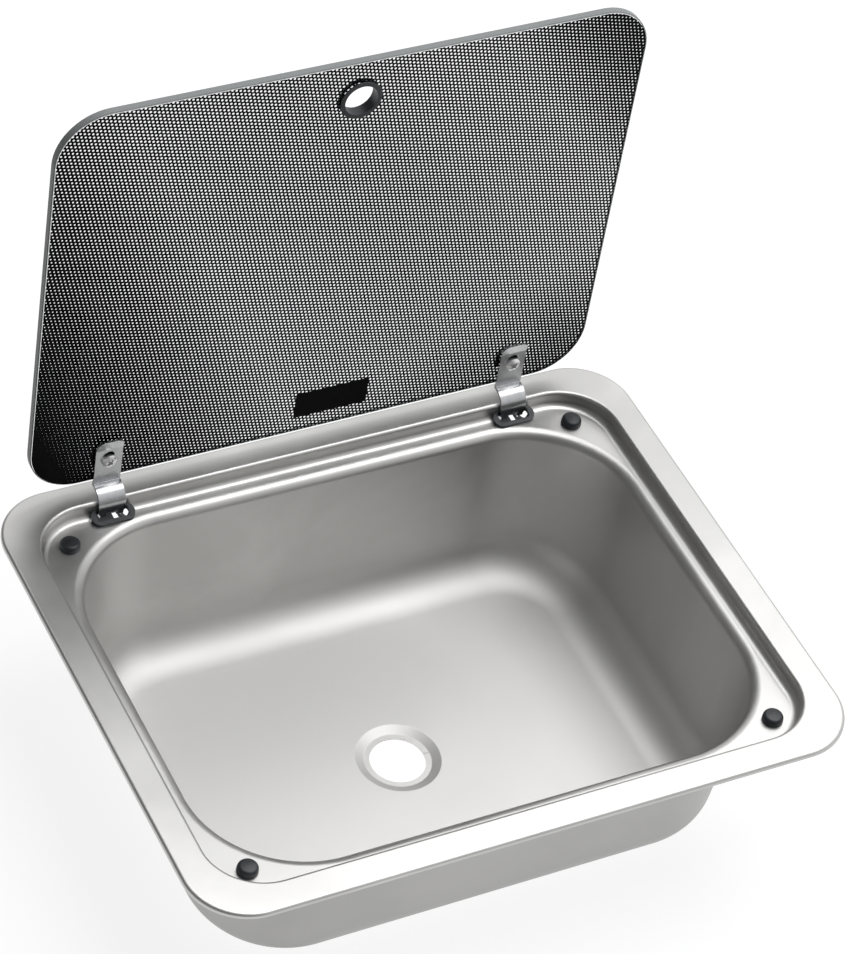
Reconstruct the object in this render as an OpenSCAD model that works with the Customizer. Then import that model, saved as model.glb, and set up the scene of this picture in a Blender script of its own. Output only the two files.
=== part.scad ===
// Inset sink for a caravan or motorhome kitchen, pressed from one sheet of
// stainless steel, with a flush glass lid on two swan-neck hinges.
// The lid is drawn open, standing upright behind the bowl, as it rests on its stop.
// X runs to the right, Y to the back and Z up. The origin lies under the middle
// of the rim, on the level of the lowest point. Heights are counted down from
// the top of the rim, so z = rim_z is the rim and z = rim_z - depth is below it.

/* [Rim] */
// Width of the rim, left to right
rim_w = 410; // [390:1:440]
// Depth of the rim, front to back
rim_d = 330; // [318:1:360]
// Corner radius of the rim
rim_r = 36.5; // [30:0.5:42]
// Thickness of the steel sheet
sheet_t = 0.8; // [0.6:0.1:1]
// Width of the flat flange outside the recess
flange_w = 17.4; // [16:0.1:22]
// Radius where the flange turns down into its lip
lip_bend_r = 2.2; // [1.4:0.1:2.8]
// Height of the turned-down lip, from the top of the rim
lip_h = 3; // [2.8:0.1:4]

/* [Recess] */
// Depth of the recess that takes the lid
recess_depth = 10.5; // [10:0.1:11]
// Corner radius of the recess wall
recess_r = 34; // [28:0.5:40]
// Radius at the top of the recess wall
recess_top_r = 1.6; // [1.2:0.1:2]
// Radius at the foot of the recess wall
recess_foot_r = 1.8; // [1.2:0.1:2.2]

/* [Bowl] */
// Width of the ledge at the sides, from the recess wall to the bowl wall
ledge_side = 11.5; // [10:0.1:16]
// Width of the ledge at the front and back
ledge_end = 13.5; // [13.5:0.1:18]
// Corner radius of the bowl opening
bowl_r = 66; // [56:0.5:72]
// Depth of the bowl floor below the rim
bowl_depth = 117; // [105:1:140]
// Lean of the bowl walls, in degrees
bowl_draft = 5.5; // [3:0.5:7]
// Radius where the ledge turns down into the bowl
bowl_lip_r = 4; // [3:0.1:4.2]
// Radius between the bowl walls and the floor
bowl_floor_r = 28; // [20:1:34]

/* [Waste seat] */
// Diameter of the waste hole
waste_d = 34; // [30:0.5:38]
// Outer diameter of the pressed waste seat
waste_seat_d = 52; // [50:1:60]
// Diameter of the flat annulus round the waste hole
waste_flat_d = 41; // [40:0.5:46]
// Depth of the waste seat below the floor
waste_drop = 2.5; // [1.5:0.1:4]
// How far the waste hole lies in front of the middle of the bowl
waste_shift = 3; // [0:0.5:10]

/* [Glass lid] */
// Gap between the closed lid and the recess wall at the sides
lid_side_gap = 4.8; // [3:0.1:8]
// Gap between the closed lid and the recess wall at the front
lid_front_gap = 2.6; // [2.4:0.1:7]
// Gap between the closed lid and the recess wall at the back
lid_back_gap = 8.9; // [8:0.1:9.6]
// Thickness of the glass
glass_t = 5; // [4:0.5:5.5]
// Corner radius of the glass
glass_r = 32; // [26:0.5:40]
// Height of the closed lid's top face below the rim
lid_sink = 0.2; // [0:0.1:0.6]
// Width of the ground bevel along the edges of the glass
glass_bevel = 0.6; // [0.3:0.1:1]
// Distance from the free edge of the glass to the middle of the finger hole
finger_inset = 27; // [20:0.5:36]
// Opening of the rubber ring in the finger hole
finger_d = 20; // [18:0.5:24]

/* [Finger ring] */
// Wall of the ring inside the glass hole
ring_wall = 1.4; // [1:0.1:2]
// How far the ring's flanges reach over the glass
ring_flange = 1.3; // [0.8:0.1:2]
// Thickness of each flange of the ring
ring_flange_t = 1; // [0.6:0.1:1.5]
// Play between the ring and the glass hole
ring_play = 0.05; // [0.02:0.01:0.1]

/* [Hinges] */
// Distance of each hinge from the recess wall at its side
hinge_inset = 54; // [48:1:76]
// Distance of the pivot behind the recess wall
pivot_back = 7.7; // [7.5:0.1:7.9]
// Depth of the pivot below the top of the rim
pivot_drop = 7.9; // [7.8:0.1:8.2]
// Diameter of the hinge pin
pin_d = 4; // [3.6:0.1:4.2]
// Running clearance round the pin, on the radius
pin_play = 0.05; // [0.03:0.01:0.08]
// Clearance of the pin in the bracket ears, on the radius
ear_play = 0.01; // [0.005:0.005:0.02]
// Width of the strap
strap_w = 17; // [15:0.5:18]
// Thickness of the strap
strap_t = 1.5; // [1.2:0.1:1.6]
// Gap between the strap and the recess wall
strap_wall_gap = 1.2; // [1.1:0.1:1.3]
// Inner radius of the swan neck
neck_r = 8.8; // [8.6:0.1:9]
// Height of the flat leaf above the lower edge of the glass
leaf_h = 24.5; // [23:0.5:28]
// Length of the bent tip beyond the leaf
tip_l = 7.6; // [6:0.1:9]
// Bend of the tip away from the glass, in degrees
tip_angle = 14; // [5:1:20]
// Inner radius of the bend below the tip
crease_r = 1; // [0.5:0.1:2]
// Corner radius of the tip
tip_r = 5; // [3:0.5:6]
// Radius on the shoulders above the fork
shoulder_r = 2.4; // [1.5:0.1:3]
// Width of the notch between the two fork legs
notch_w = 6.6; // [6:0.1:7]
// Width of each fork leg
leg_w = 4.1; // [3.6:0.1:4.4]

/* [Strap fastening] */
// Height of the screw above the lower edge of the glass
screw_h = 16; // [14:0.5:18]
// Diameter of the screw shank
screw_d = 5; // [4:0.5:5]
// Diameter of the screw head
screw_head_d = 9.2; // [8.6:0.1:10]
// Height of the screw head
screw_head_h = 3; // [2.4:0.1:3.4]
// Width of the slot in the strap
screw_slot_w = 6.6; // [6:0.1:7.4]
// Length of the slot in the strap
screw_slot_l = 11.4; // [9:0.1:13]
// How far the middle of the slot lies above the screw
screw_slot_rise = 1.1; // [0:0.1:2]
// Thickness of the rubber gasket under the strap
gasket_t = 0.5; // [0.4:0.1:1]
// How far the gasket stays inside the edge of the strap
gasket_inset = 0.8; // [0.4:0.1:1.5]
// Outer diameter of the plastic bush in the glass
bush_d = 8; // [7.5:0.1:9]
// Diameter of the bush flange behind the glass
bush_flange_d = 15; // [13:0.5:18]
// Thickness of the bush flange
bush_flange_t = 0.8; // [0.5:0.1:1.2]
// Clearance of the screw in its bush and cap, on the radius
screw_play = 0.05; // [0.03:0.01:0.1]
// Diameter of the cap behind the glass
cap_d = 18; // [16:0.5:20]
// Height of the cap behind the glass
cap_h = 2.6; // [2.2:0.1:2.6]
// Radius round the edge of the cap
cap_edge_r = 1.2; // [0.6:0.1:1.6]
// Depth of the thread socket in the cap
cap_socket = 1.6; // [1.2:0.1:1.8]
// Gap between the end of the screw and the bottom of its socket
screw_end_gap = 0.2; // [0.1:0.05:0.4]

/* [Slot grommets] */
// Length of the grommet, left to right
grommet_l = 27; // [25:0.5:28]
// Front-to-back size of the grommet
grommet_b = 10.8; // [10.7:0.05:10.9]
// How far the grommet reaches into the recess wall
grommet_bite = 0.8; // [0.7:0.05:0.9]
// Height of the grommet at its front edge
grommet_h = 1.5; // [1.2:0.1:1.6]
// Slope of the top of the grommet, in degrees
grommet_slope = 17; // [12:1:18]
// Width of the rim in front of the opening
grommet_rim = 2.4; // [2.2:0.1:2.4]
// Length of the opening
grommet_open_l = 20; // [19:0.5:21]
// Corner radius of the opening
grommet_open_r = 1.8; // [1:0.1:2]
// Thickness of the bar behind the strap
grommet_bar = 1.3; // [1.1:0.05:1.4]
// Wall of the skirt that passes through the steel
grommet_skirt = 0.9; // [0.7:0.1:1.2]
// How far the skirt hangs below the sheet
grommet_hang = 0.6; // [0.3:0.1:1]
// Play between the grommet and the steel
grommet_play = 0.1; // [0.05:0.05:0.2]
// Gap between the guard under the slot and the swing of the strap
guard_gap = 0.25; // [0.2:0.05:0.4]
// Depth of the cheeks at the ends of the guard
guard_cheek = 4.5; // [3:0.1:5]
// Angle round the pivot at which the guard ends, in degrees
guard_end = 262; // [255:1:270]
// Distance of each drain slot of the guard from its middle
guard_drain_x = 7; // [5:0.1:8]
// Width of each drain slot
guard_drain_w = 3; // [2:0.1:4]

/* [Hinge brackets] */
// Thickness of the bracket plate
bracket_t = 1.5; // [1.2:0.1:1.6]
// Width of the bracket base
bracket_w = 34; // [30:1:40]
// Front-to-back size of the bracket base
bracket_d = 11; // [10:0.1:11.5]
// Gap between the bracket and the recess wall
bracket_gap = 0.9; // [0.6:0.1:1.2]
// Radius of the ears round the pin
ear_r = 4.4; // [4:0.1:4.6]
// Side gap between the fork and the ears
ear_gap = 0.4; // [0.3:0.1:0.6]
// Width of the stop tab
stop_w = 1.6; // [1.2:0.1:1.8]
// Height of the stop tab
stop_h = 1.4; // [1:0.1:1.8]
// Gap between the stop tab and the fork legs
stop_gap = 0.2; // [0.1:0.05:0.3]
// Diameter of the pin head
pin_head_d = 6.4; // [5.6:0.1:7]
// Thickness of the pin head
pin_head_t = 1.1; // [0.8:0.1:1.5]
// Diameter of the retaining clip
clip_d = 7.4; // [6.4:0.1:8]
// Thickness of the retaining clip
clip_t = 0.8; // [0.6:0.1:1]
// Length of pin that stands out past the clip
pin_tail = 0.9; // [0.6:0.1:1.5]

/* [Rubber pads] */
// Diameter of each pad
pad_d = 12.4; // [10:0.2:13]
// Distance of the pads from the recess wall at the sides
pad_side = 21.2; // [20:0.1:23]
// Distance of the pads from the recess wall at the front and back
pad_inset = 18.8; // [18:0.1:20]
// Gap between the closed glass and the pads
pad_gap = 0.3; // [0.2:0.05:0.4]
// Radius round the top edge of the pads
pad_edge_r = 2.4; // [1:0.1:2.6]
// Diameter of the stem through the ledge
pad_stem_d = 5; // [4:0.1:6]
// Play between the stem and its hole, on the radius
pad_play = 0.05; // [0.02:0.01:0.1]
// Diameter of the bulb under the ledge
pad_bulb_d = 6.8; // [6.2:0.1:8]
// Height of the bulb under the ledge
pad_bulb_h = 2.6; // [2:0.1:4]

/* [Hidden] */
$fn = 64;

// Overrun of the cuts
over = 1;
half_turn = 180;
// Colours
steel = [0.78, 0.78, 0.76];
bright = [0.7, 0.7, 0.71];
black = [0.13, 0.14, 0.16];
dark_glass = [0.2, 0.21, 0.21];

// Heights
rim_z = bowl_depth + waste_drop + sheet_t;
ledge_z = rim_z - recess_depth;
floor_z = rim_z - bowl_depth;

// Half sizes of the recess wall, measured on its inner face
recess_hx = rim_w / 2 - flange_w - recess_top_r;
recess_hy = rim_d / 2 - flange_w - recess_top_r;
hinge_x = recess_hx - hinge_inset;

// Half sizes of the bowl wall where it leaves the ledge
bowl_hx = recess_hx - ledge_side;
bowl_hy = recess_hy - ledge_end;

// Section of the bowl wall, counted from the wall line: u outward, v up from the rim
wall_top_u = bowl_lip_r * (1 - cos(bowl_draft));
wall_top_v = -recess_depth - bowl_lip_r * (1 - sin(bowl_draft));
wall_end_v = -bowl_depth + bowl_floor_r * (1 - sin(bowl_draft));
wall_l = (wall_top_v - wall_end_v) / cos(bowl_draft);
wall_end_u = wall_top_u - wall_l * sin(bowl_draft);
floor_u = wall_end_u - bowl_floor_r * cos(bowl_draft);

// Closed lid: the edge that carries the hinges, and the under face
lid_w = 2 * (recess_hx - lid_side_gap);
lid_l = 2 * recess_hy - lid_front_gap - lid_back_gap;
closed_y = recess_hy - lid_back_gap;
closed_z = rim_z - lid_sink - glass_t;

// Pivot of both hinges
pivot_y = recess_hy + pivot_back;
pivot_z = rim_z - pivot_drop;

// Open lid, a quarter turn back from closed: its front face and its lower edge
open_y = pivot_y + closed_z - pivot_z;
open_z = pivot_z + pivot_y - closed_y;
finger_z = open_z + lid_l - finger_inset;
screw_z = open_z + screw_h;
glass_hole_d = finger_d + 2 * (ring_wall + ring_play);

// Strap: leaf on the glass, swan neck, and fork round the pin
leaf_foot_share = 0.3;
leaf_y = open_y - gasket_t - strap_t;
neck_in_y = recess_hy - strap_wall_gap;
neck_y = neck_in_y + neck_r;
neck_out_r = neck_r + strap_t;
neck_z = open_z - gasket_t - strap_t - neck_out_r + leaf_foot_share * strap_t;
knuckle_r = pin_d / 2 + pin_play + strap_t;
leg_low_z = pivot_z - knuckle_r;
leg_top_z = leg_low_z + strap_t;
fork_z = ledge_z + grommet_h;
fork_hw = notch_w / 2 + leg_w;
leaf_top_z = open_z + leaf_h;

// Bracket
ear_in_x = fork_hw + ear_gap;
ear_out_x = ear_in_x + bracket_t;
bracket_y = recess_hy + sheet_t + bracket_gap;

// Grommet: front edge, opening and slot in the steel
grommet_y = recess_hy + grommet_bite - grommet_b;
open_front_y = grommet_y + grommet_rim;
open_back_y = recess_hy + grommet_bite - grommet_bar;
grommet_rise = (grommet_b + over) * tan(grommet_slope);
grommet_top_z = ledge_z + grommet_h;
bar_low_z = leg_top_z + stop_gap + sheet_t / 4;

// Guard under the slot, round the pivot: just outside the swing of the swan neck
guard_start = 191;
drain_from = 233;
drain_to = 249;
guard_r = norm([neck_y - pivot_y, neck_z - pivot_z]) + neck_out_r + guard_gap;

// Pads
pad_top_z = closed_z - pad_gap;
pad_x = recess_hx - pad_side;
pad_y = recess_hy - pad_inset;

// Flat rounded rectangle from its half sizes
module plate(hx, hy, r) {
    square([2 * (hx - r), 2 * hy], center = true);
    square([2 * hx, 2 * (hy - r)], center = true);
    for (sx = [-1, 1], sy = [-1, 1])
        translate([sx * (hx - r), sy * (hy - r)])
            circle(r = r, $fn = 96);
}

// Carries a section once round a rounded rectangle; the section's X points outward
module sweep(hx, hy, r) {
    for (side = [0, 1, 2, 3]) {
        across = side % 2 == 0 ? hx : hy;
        along = side % 2 == 0 ? hy : hx;
        rotate([0, 0, 90 * side])
            translate([across, along - r, 0])
                rotate([90, 0, 0])
                    linear_extrude(2 * (along - r))
                        children();
        rotate([0, 0, 90 * side])
            translate([across - r, along - r, 0])
                rotate_extrude(angle = 90, $fn = 96)
                    translate([r, 0])
                        children();
    }
}

// Part of a flat ring between two angles less than 180 degrees apart
module ring_part(r_in, r_out, from, to) {
    reach = 2 * r_out;
    intersection() {
        difference() {
            circle(r = r_out, $fn = 96);
            if (r_in > 0)
                circle(r = r_in, $fn = 96);
        }
        polygon([[0, 0], reach * [cos(from), sin(from)],
            reach * [cos((from + to) / 2), sin((from + to) / 2)],
            reach * [cos(to), sin(to)]]);
    }
}

// Flat slot with round ends, along X
module slot_2d(length, width) {
    square([length - width, width], center = true);
    for (s = [-1, 1])
        translate([s * (length - width) / 2, 0])
            circle(d = width);
}

// Section of the turned-down lip round the rim
module lip_section() {
    translate([-lip_bend_r, -lip_bend_r])
        ring_part(lip_bend_r - sheet_t, lip_bend_r, 0, 90);
    translate([-sheet_t, -lip_h])
        square([sheet_t, lip_h - lip_bend_r]);
}

// Section of the recess wall, from the flange down to the ledge
module recess_section() {
    translate([recess_top_r, -recess_top_r])
        ring_part(recess_top_r - sheet_t, recess_top_r, 90, 180);
    translate([0, recess_foot_r - recess_depth])
        square([sheet_t, recess_depth - recess_foot_r - recess_top_r]);
    translate([-recess_foot_r, recess_foot_r - recess_depth])
        ring_part(recess_foot_r, recess_foot_r + sheet_t, -90, 0);
}

// Section of the bowl, from the ledge down to the floor
module bowl_section() {
    translate([bowl_lip_r, -recess_depth - bowl_lip_r])
        ring_part(bowl_lip_r - sheet_t, bowl_lip_r, 90, half_turn - bowl_draft);
    // The wall runs on into both bends, so that the three always join
    translate([wall_end_u, wall_end_v])
        rotate(-bowl_draft)
            translate([0, -sheet_t / 2])
                square([sheet_t, wall_l + sheet_t]);
    translate([floor_u, bowl_floor_r - bowl_depth])
        ring_part(bowl_floor_r, bowl_floor_r + sheet_t, -90, -bowl_draft);
}

// Waste seat: a sloped ring, a flat annulus and the plain hole
module waste_seat() {
    translate([0, -waste_shift, floor_z])
        rotate_extrude($fn = 96)
            polygon([[waste_d / 2, -waste_drop],
                [waste_flat_d / 2, -waste_drop],
                [waste_seat_d / 2, 0],
                [waste_seat_d / 2 + sheet_t, 0],
                [waste_seat_d / 2 + sheet_t, -sheet_t],
                [waste_flat_d / 2 + sheet_t / 2, -waste_drop - sheet_t],
                [waste_d / 2, -waste_drop - sheet_t]]);
}

// Cut in the ledge and the foot of the recess wall for one grommet
module grommet_cut() {
    cut_z = ledge_z - sheet_t - over;
    cut_h = grommet_top_z + grommet_b * tan(grommet_slope) + grommet_play - cut_z;
    translate([0, 0, cut_z])
        linear_extrude(cut_h) {
            slot_l = grommet_open_l + 2 * (grommet_skirt + grommet_play);
            slot_y = open_front_y - grommet_skirt - grommet_play;
            slot_b = recess_hy + grommet_bite + grommet_play - slot_y;
            translate([0, slot_y + slot_b / 2])
                plate(slot_l / 2, slot_b / 2, grommet_open_r + grommet_skirt + grommet_play);
            intersection() {
                translate([0, grommet_y + grommet_b / 2])
                    slot_2d(grommet_l + 2 * grommet_play, grommet_b + 2 * grommet_play);
                translate([-grommet_l, recess_hy - recess_foot_r])
                    square([2 * grommet_l, 2 * recess_foot_r]);
            }
        }
}

module sink_basin() {
    color(steel)
    difference() {
        union() {
            // Flat flange round the recess
            translate([0, 0, rim_z - sheet_t])
                linear_extrude(sheet_t)
                    difference() {
                        plate(rim_w / 2 - lip_bend_r, rim_d / 2 - lip_bend_r, rim_r - lip_bend_r);
                        plate(recess_hx + recess_top_r, recess_hy + recess_top_r,
                            recess_r + recess_top_r);
                    }
            translate([0, 0, rim_z])
                sweep(rim_w / 2, rim_d / 2, rim_r)
                    lip_section();
            translate([0, 0, rim_z])
                sweep(recess_hx, recess_hy, recess_r)
                    recess_section();
            // Ledge between the recess wall and the bowl
            translate([0, 0, ledge_z - sheet_t])
                linear_extrude(sheet_t)
                    difference() {
                        plate(recess_hx - recess_foot_r, recess_hy - recess_foot_r,
                            recess_r - recess_foot_r);
                        plate(bowl_hx + bowl_lip_r, bowl_hy + bowl_lip_r, bowl_r + bowl_lip_r);
                    }
            translate([0, 0, rim_z])
                sweep(bowl_hx, bowl_hy, bowl_r)
                    bowl_section();
            // Floor of the bowl
            translate([0, 0, floor_z - sheet_t])
                linear_extrude(sheet_t)
                    difference() {
                        plate(bowl_hx + floor_u, bowl_hy + floor_u, bowl_r + floor_u);
                        translate([0, -waste_shift])
                            circle(d = waste_seat_d + sheet_t, $fn = 96);
                    }
            waste_seat();
        }
        for (s = [-1, 1])
            translate([s * hinge_x, 0, 0])
                grommet_cut();
        for (sx = [-1, 1], sy = [-1, 1])
            translate([sx * pad_x, sy * pad_y, ledge_z - sheet_t - over])
                cylinder(d = pad_stem_d + 2 * pad_play, h = sheet_t + 2 * over);
    }
}

// Half section of a disc whose top edge is rounded
module rounded_disc_2d(r_out, height, r_edge) {
    square([r_out - r_edge, height]);
    translate([r_out - r_edge, 0])
        square([r_edge, height - r_edge]);
    translate([r_out - r_edge, height - r_edge])
        ring_part(0, r_edge, 0, 90);
}

// Rubber pad with its stem and bulb through the ledge
module pad(x, y) {
    bulb_z = sheet_t + pad_bulb_h / 3;
    pad_h = pad_top_z - ledge_z;
    color(black)
    translate([x, y, ledge_z]) {
        rotate_extrude()
            rounded_disc_2d(pad_d / 2, pad_h, pad_edge_r);
        // The stem ends inside the pad and inside the bulb
        translate([0, 0, -bulb_z])
            cylinder(d = pad_stem_d, h = bulb_z + pad_h / 2);
        rotate_extrude()
            polygon([[0, -sheet_t], [pad_bulb_d / 2, -sheet_t], [pad_bulb_d / 2, -bulb_z],
                [pad_stem_d / 3, -sheet_t - pad_bulb_h], [0, -sheet_t - pad_bulb_h]]);
    }
}

module pad_front_left() { pad(-pad_x, -pad_y); }
module pad_front_right() { pad(pad_x, -pad_y); }
module pad_rear_left() { pad(-pad_x, pad_y); }
module pad_rear_right() { pad(pad_x, pad_y); }

// Curved guard with two cheeks and two drain slots that hides the underside of the slot
module slot_guard() {
    guard_out_r = guard_r + grommet_skirt;
    guard_hw = grommet_open_l / 2 + grommet_skirt;
    difference() {
        translate([-guard_hw, pivot_y, pivot_z])
            rotate([90, 0, 90])
                linear_extrude(2 * guard_hw)
                    ring_part(guard_r, guard_out_r, guard_start, guard_end);
        for (s = [-1, 1])
            translate([s * guard_drain_x - guard_drain_w / 2, pivot_y, pivot_z])
                rotate([90, 0, 90])
                    linear_extrude(guard_drain_w)
                        ring_part(guard_r - over, guard_out_r + over, drain_from, drain_to);
    }
    for (x = [-guard_hw, guard_hw - grommet_skirt])
        translate([x, pivot_y, pivot_z])
            rotate([90, 0, 90])
                linear_extrude(grommet_skirt)
                    ring_part(guard_out_r - guard_cheek, guard_out_r, guard_start, guard_end);
}

// Wedge-shaped plastic grommet that lines the slot of one hinge
module slot_grommet(side) {
    open_b = open_back_y - open_front_y;
    open_mid = (open_back_y + open_front_y) / 2;
    skirt_h = sheet_t + grommet_hang;
    color(black)
    translate([side * hinge_x, 0, 0])
        difference() {
            union() {
                intersection() {
                    translate([0, grommet_y + grommet_b / 2, ledge_z])
                        linear_extrude(grommet_h + grommet_rise)
                            slot_2d(grommet_l, grommet_b);
                    translate([0, grommet_y, grommet_top_z])
                        rotate([grommet_slope, 0, 0])
                            translate([-grommet_l, -over, -grommet_l])
                                cube([2 * grommet_l, 2 * grommet_b, grommet_l]);
                }
                translate([0, open_mid, ledge_z - skirt_h])
                    linear_extrude(skirt_h)
                        plate(grommet_open_l / 2 + grommet_skirt, open_b / 2 + grommet_skirt,
                            grommet_open_r + grommet_skirt);
            }
            translate([0, open_mid, ledge_z - skirt_h - over])
                linear_extrude(skirt_h + grommet_h + grommet_rise + 2 * over)
                    plate(grommet_open_l / 2, open_b / 2, grommet_open_r);
            // The bar behind the strap stops above the fork legs
            translate([-grommet_l / 2, open_mid, ledge_z - skirt_h - over])
                cube([grommet_l, grommet_b, bar_low_z - ledge_z + skirt_h + over]);
        }
    color(black)
    translate([side * hinge_x, 0, 0])
        slot_guard();
}

module slot_grommet_left() { slot_grommet(-1); }
module slot_grommet_right() { slot_grommet(1); }

// Bracket welded under the flange: base, two ears and the stop tab
module hinge_bracket(side) {
    color(bright)
    translate([side * hinge_x, 0, 0])
        difference() {
            union() {
                translate([-bracket_w / 2, bracket_y, rim_z - sheet_t - bracket_t])
                    cube([bracket_w, bracket_d, bracket_t]);
                for (s = [-1, 1])
                    translate([s * (ear_in_x + ear_out_x) / 2, 0, 0]) {
                        translate([-bracket_t / 2, pivot_y, pivot_z])
                            rotate([0, 90, 0])
                                cylinder(r = ear_r, h = bracket_t);
                        translate([-bracket_t / 2, pivot_y - ear_r, pivot_z])
                            cube([bracket_t, 2 * ear_r, rim_z - sheet_t - bracket_t / 2 - pivot_z]);
                        translate([-bracket_t / 2, bracket_y, leg_top_z + stop_gap])
                            cube([bracket_t, pivot_y - bracket_y, pivot_z - leg_top_z]);
                    }
                translate([-ear_out_x, bracket_y, leg_top_z + stop_gap])
                    cube([2 * ear_out_x, stop_w, stop_h]);
            }
            translate([-ear_out_x - over, pivot_y, pivot_z])
                rotate([0, 90, 0])
                    cylinder(r = pin_d / 2 + ear_play, h = 2 * (ear_out_x + over));
        }
}

module hinge_bracket_left() { hinge_bracket(-1); }
module hinge_bracket_right() { hinge_bracket(1); }

// Headed pin, with its head on the side away from the middle of the sink
module hinge_pin(side) {
    pin_l = 2 * ear_out_x + clip_t + pin_tail;
    color(bright)
    translate([side * hinge_x, pivot_y, pivot_z])
        rotate([0, -90 * side, 0])
            translate([0, 0, -ear_out_x]) {
                cylinder(d = pin_d, h = pin_l);
                translate([0, 0, -pin_head_t])
                    cylinder(d = pin_head_d, h = pin_head_t);
            }
}

module hinge_pin_left() { hinge_pin(-1); }
module hinge_pin_right() { hinge_pin(1); }

// Push-on clip that holds the pin
module pin_clip(side) {
    color(bright)
    translate([side * hinge_x, pivot_y, pivot_z])
        rotate([0, -90 * side, 0])
            translate([0, 0, ear_out_x])
                difference() {
                    cylinder(d = clip_d, h = clip_t);
                    translate([0, 0, -over])
                        cylinder(r = pin_d / 2 + ear_play, h = clip_t + 2 * over);
                }
}

module pin_clip_left() { pin_clip(-1); }
module pin_clip_right() { pin_clip(1); }

// Side outline of the strap above the fork: leaf, bent tip and swan neck
module strap_upper_2d() {
    translate([leaf_y, neck_z + neck_out_r - strap_t])
        square([strap_t, leaf_top_z - neck_z - neck_out_r + strap_t]);
    translate([leaf_y - crease_r, leaf_top_z]) {
        ring_part(crease_r, crease_r + strap_t, 0, tip_angle);
        rotate(tip_angle)
            translate([crease_r, 0])
                square([strap_t, tip_l]);
    }
    translate([neck_y, neck_z])
        ring_part(neck_r, neck_out_r, 90, 180);
    // Short flat between the neck and the crease
    translate([neck_y, neck_z + neck_r])
        square([leaf_y + strap_t - neck_y, strap_t]);
    translate([neck_in_y - strap_t, fork_z])
        square([strap_t, neck_z - fork_z]);
}

// Side outline of one fork leg: down through the slot, back and round the pin
module strap_leg_2d() {
    translate([neck_in_y - strap_t, leg_low_z + strap_t])
        square([strap_t, fork_z - leg_low_z - strap_t]);
    translate([neck_in_y, leg_top_z])
        ring_part(0, strap_t, 180, 270);
    translate([neck_in_y, leg_low_z])
        square([pivot_y - neck_in_y, strap_t]);
    translate([pivot_y, pivot_z])
        circle(r = knuckle_r);
}

// Front outline of the strap above the fork
module strap_front_2d() {
    low = fork_z;
    tip_z = leaf_top_z + tip_l;
    difference() {
        union() {
            translate([-strap_w / 2, low + shoulder_r])
                square([strap_w, tip_z - tip_r - low - shoulder_r]);
            translate([tip_r - strap_w / 2, low + shoulder_r])
                square([strap_w - 2 * tip_r, tip_z - low - shoulder_r]);
            for (s = [-1, 1]) {
                translate([s * (strap_w / 2 - tip_r), tip_z - tip_r])
                    circle(r = tip_r);
                translate([s * (strap_w / 2 - shoulder_r), low + shoulder_r])
                    circle(r = shoulder_r);
            }
            translate([-fork_hw, low])
                square([2 * fork_hw, 2 * shoulder_r]);
        }
        translate([0, screw_z + screw_slot_rise])
            rotate(90)
                slot_2d(screw_slot_l, screw_slot_w);
        translate([-notch_w / 2, low - over])
            square([notch_w, over + shoulder_r]);
    }
}

module hinge_strap(side) {
    color(bright)
    translate([side * hinge_x, 0, 0])
        difference() {
            union() {
                intersection() {
                    translate([-strap_w / 2, 0, 0])
                        rotate([90, 0, 90])
                            linear_extrude(strap_w)
                                strap_upper_2d();
                    translate([0, open_y, 0])
                        rotate([90, 0, 0])
                            linear_extrude(open_y - neck_in_y + neck_out_r)
                                strap_front_2d();
                }
                for (s = [-1, 1])
                    translate([s * (notch_w + leg_w) / 2 - leg_w / 2, 0, 0])
                        rotate([90, 0, 90])
                            linear_extrude(leg_w)
                                strap_leg_2d();
            }
            translate([-strap_w, pivot_y, pivot_z])
                rotate([0, 90, 0])
                    cylinder(r = pin_d / 2 + pin_play, h = 2 * strap_w);
        }
}

module hinge_strap_left() { hinge_strap(-1); }
module hinge_strap_right() { hinge_strap(1); }

// Rubber gasket between the strap and the glass
module strap_gasket(side) {
    gasket_w = strap_w - 2 * gasket_inset;
    color(black)
    translate([side * hinge_x, open_y, 0])
        rotate([90, 0, 0])
            linear_extrude(gasket_t)
                difference() {
                    translate([-gasket_w / 2, open_z + gasket_inset])
                        square([gasket_w, leaf_h - 2 * gasket_inset]);
                    translate([0, screw_z])
                        circle(d = bush_d);
                }
}

module strap_gasket_left() { strap_gasket(-1); }
module strap_gasket_right() { strap_gasket(1); }

// Pan-head screw with a cross recess, seated on the strap
module strap_screw(side) {
    head_y = leaf_y;
    shank_l = strap_t + gasket_t + glass_t + bush_flange_t + cap_socket - screw_end_gap;
    dome_r = (pow(screw_head_d / 2, 2) + pow(screw_head_h / 2, 2)) / screw_head_h;
    color(bright)
    translate([side * hinge_x, head_y, screw_z])
        rotate([-90, 0, 0])
            difference() {
                union() {
                    cylinder(d = screw_d, h = shank_l);
                    translate([0, 0, -screw_head_h / 2])
                        cylinder(d = screw_head_d, h = screw_head_h / 2);
                    intersection() {
                        translate([0, 0, dome_r - screw_head_h])
                            sphere(r = dome_r);
                        translate([0, 0, -screw_head_h])
                            cylinder(d = screw_head_d, h = screw_head_h);
                    }
                }
                for (a = [0, 90])
                    rotate([0, 0, a + 45])
                        translate([-screw_head_d / 4, -screw_head_d / 16, -screw_head_h - over])
                            cube([screw_head_d / 2, screw_head_d / 8,
                                over + screw_head_h * 2 / 3]);
            }
}

module strap_screw_left() { strap_screw(-1); }
module strap_screw_right() { strap_screw(1); }

// Plastic bush that keeps the screw off the glass
module glass_bush(side) {
    color(black)
    translate([side * hinge_x, open_y, screw_z])
        rotate([-90, 0, 0])
            difference() {
                union() {
                    translate([0, 0, -gasket_t])
                        cylinder(d = bush_d - 2 * ring_play, h = glass_t + gasket_t);
                    translate([0, 0, glass_t])
                        cylinder(d = bush_flange_d, h = bush_flange_t);
                }
                translate([0, 0, -gasket_t - over])
                    cylinder(r = screw_d / 2 + screw_play,
                        h = gasket_t + glass_t + bush_flange_t + 2 * over);
            }
}

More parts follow.
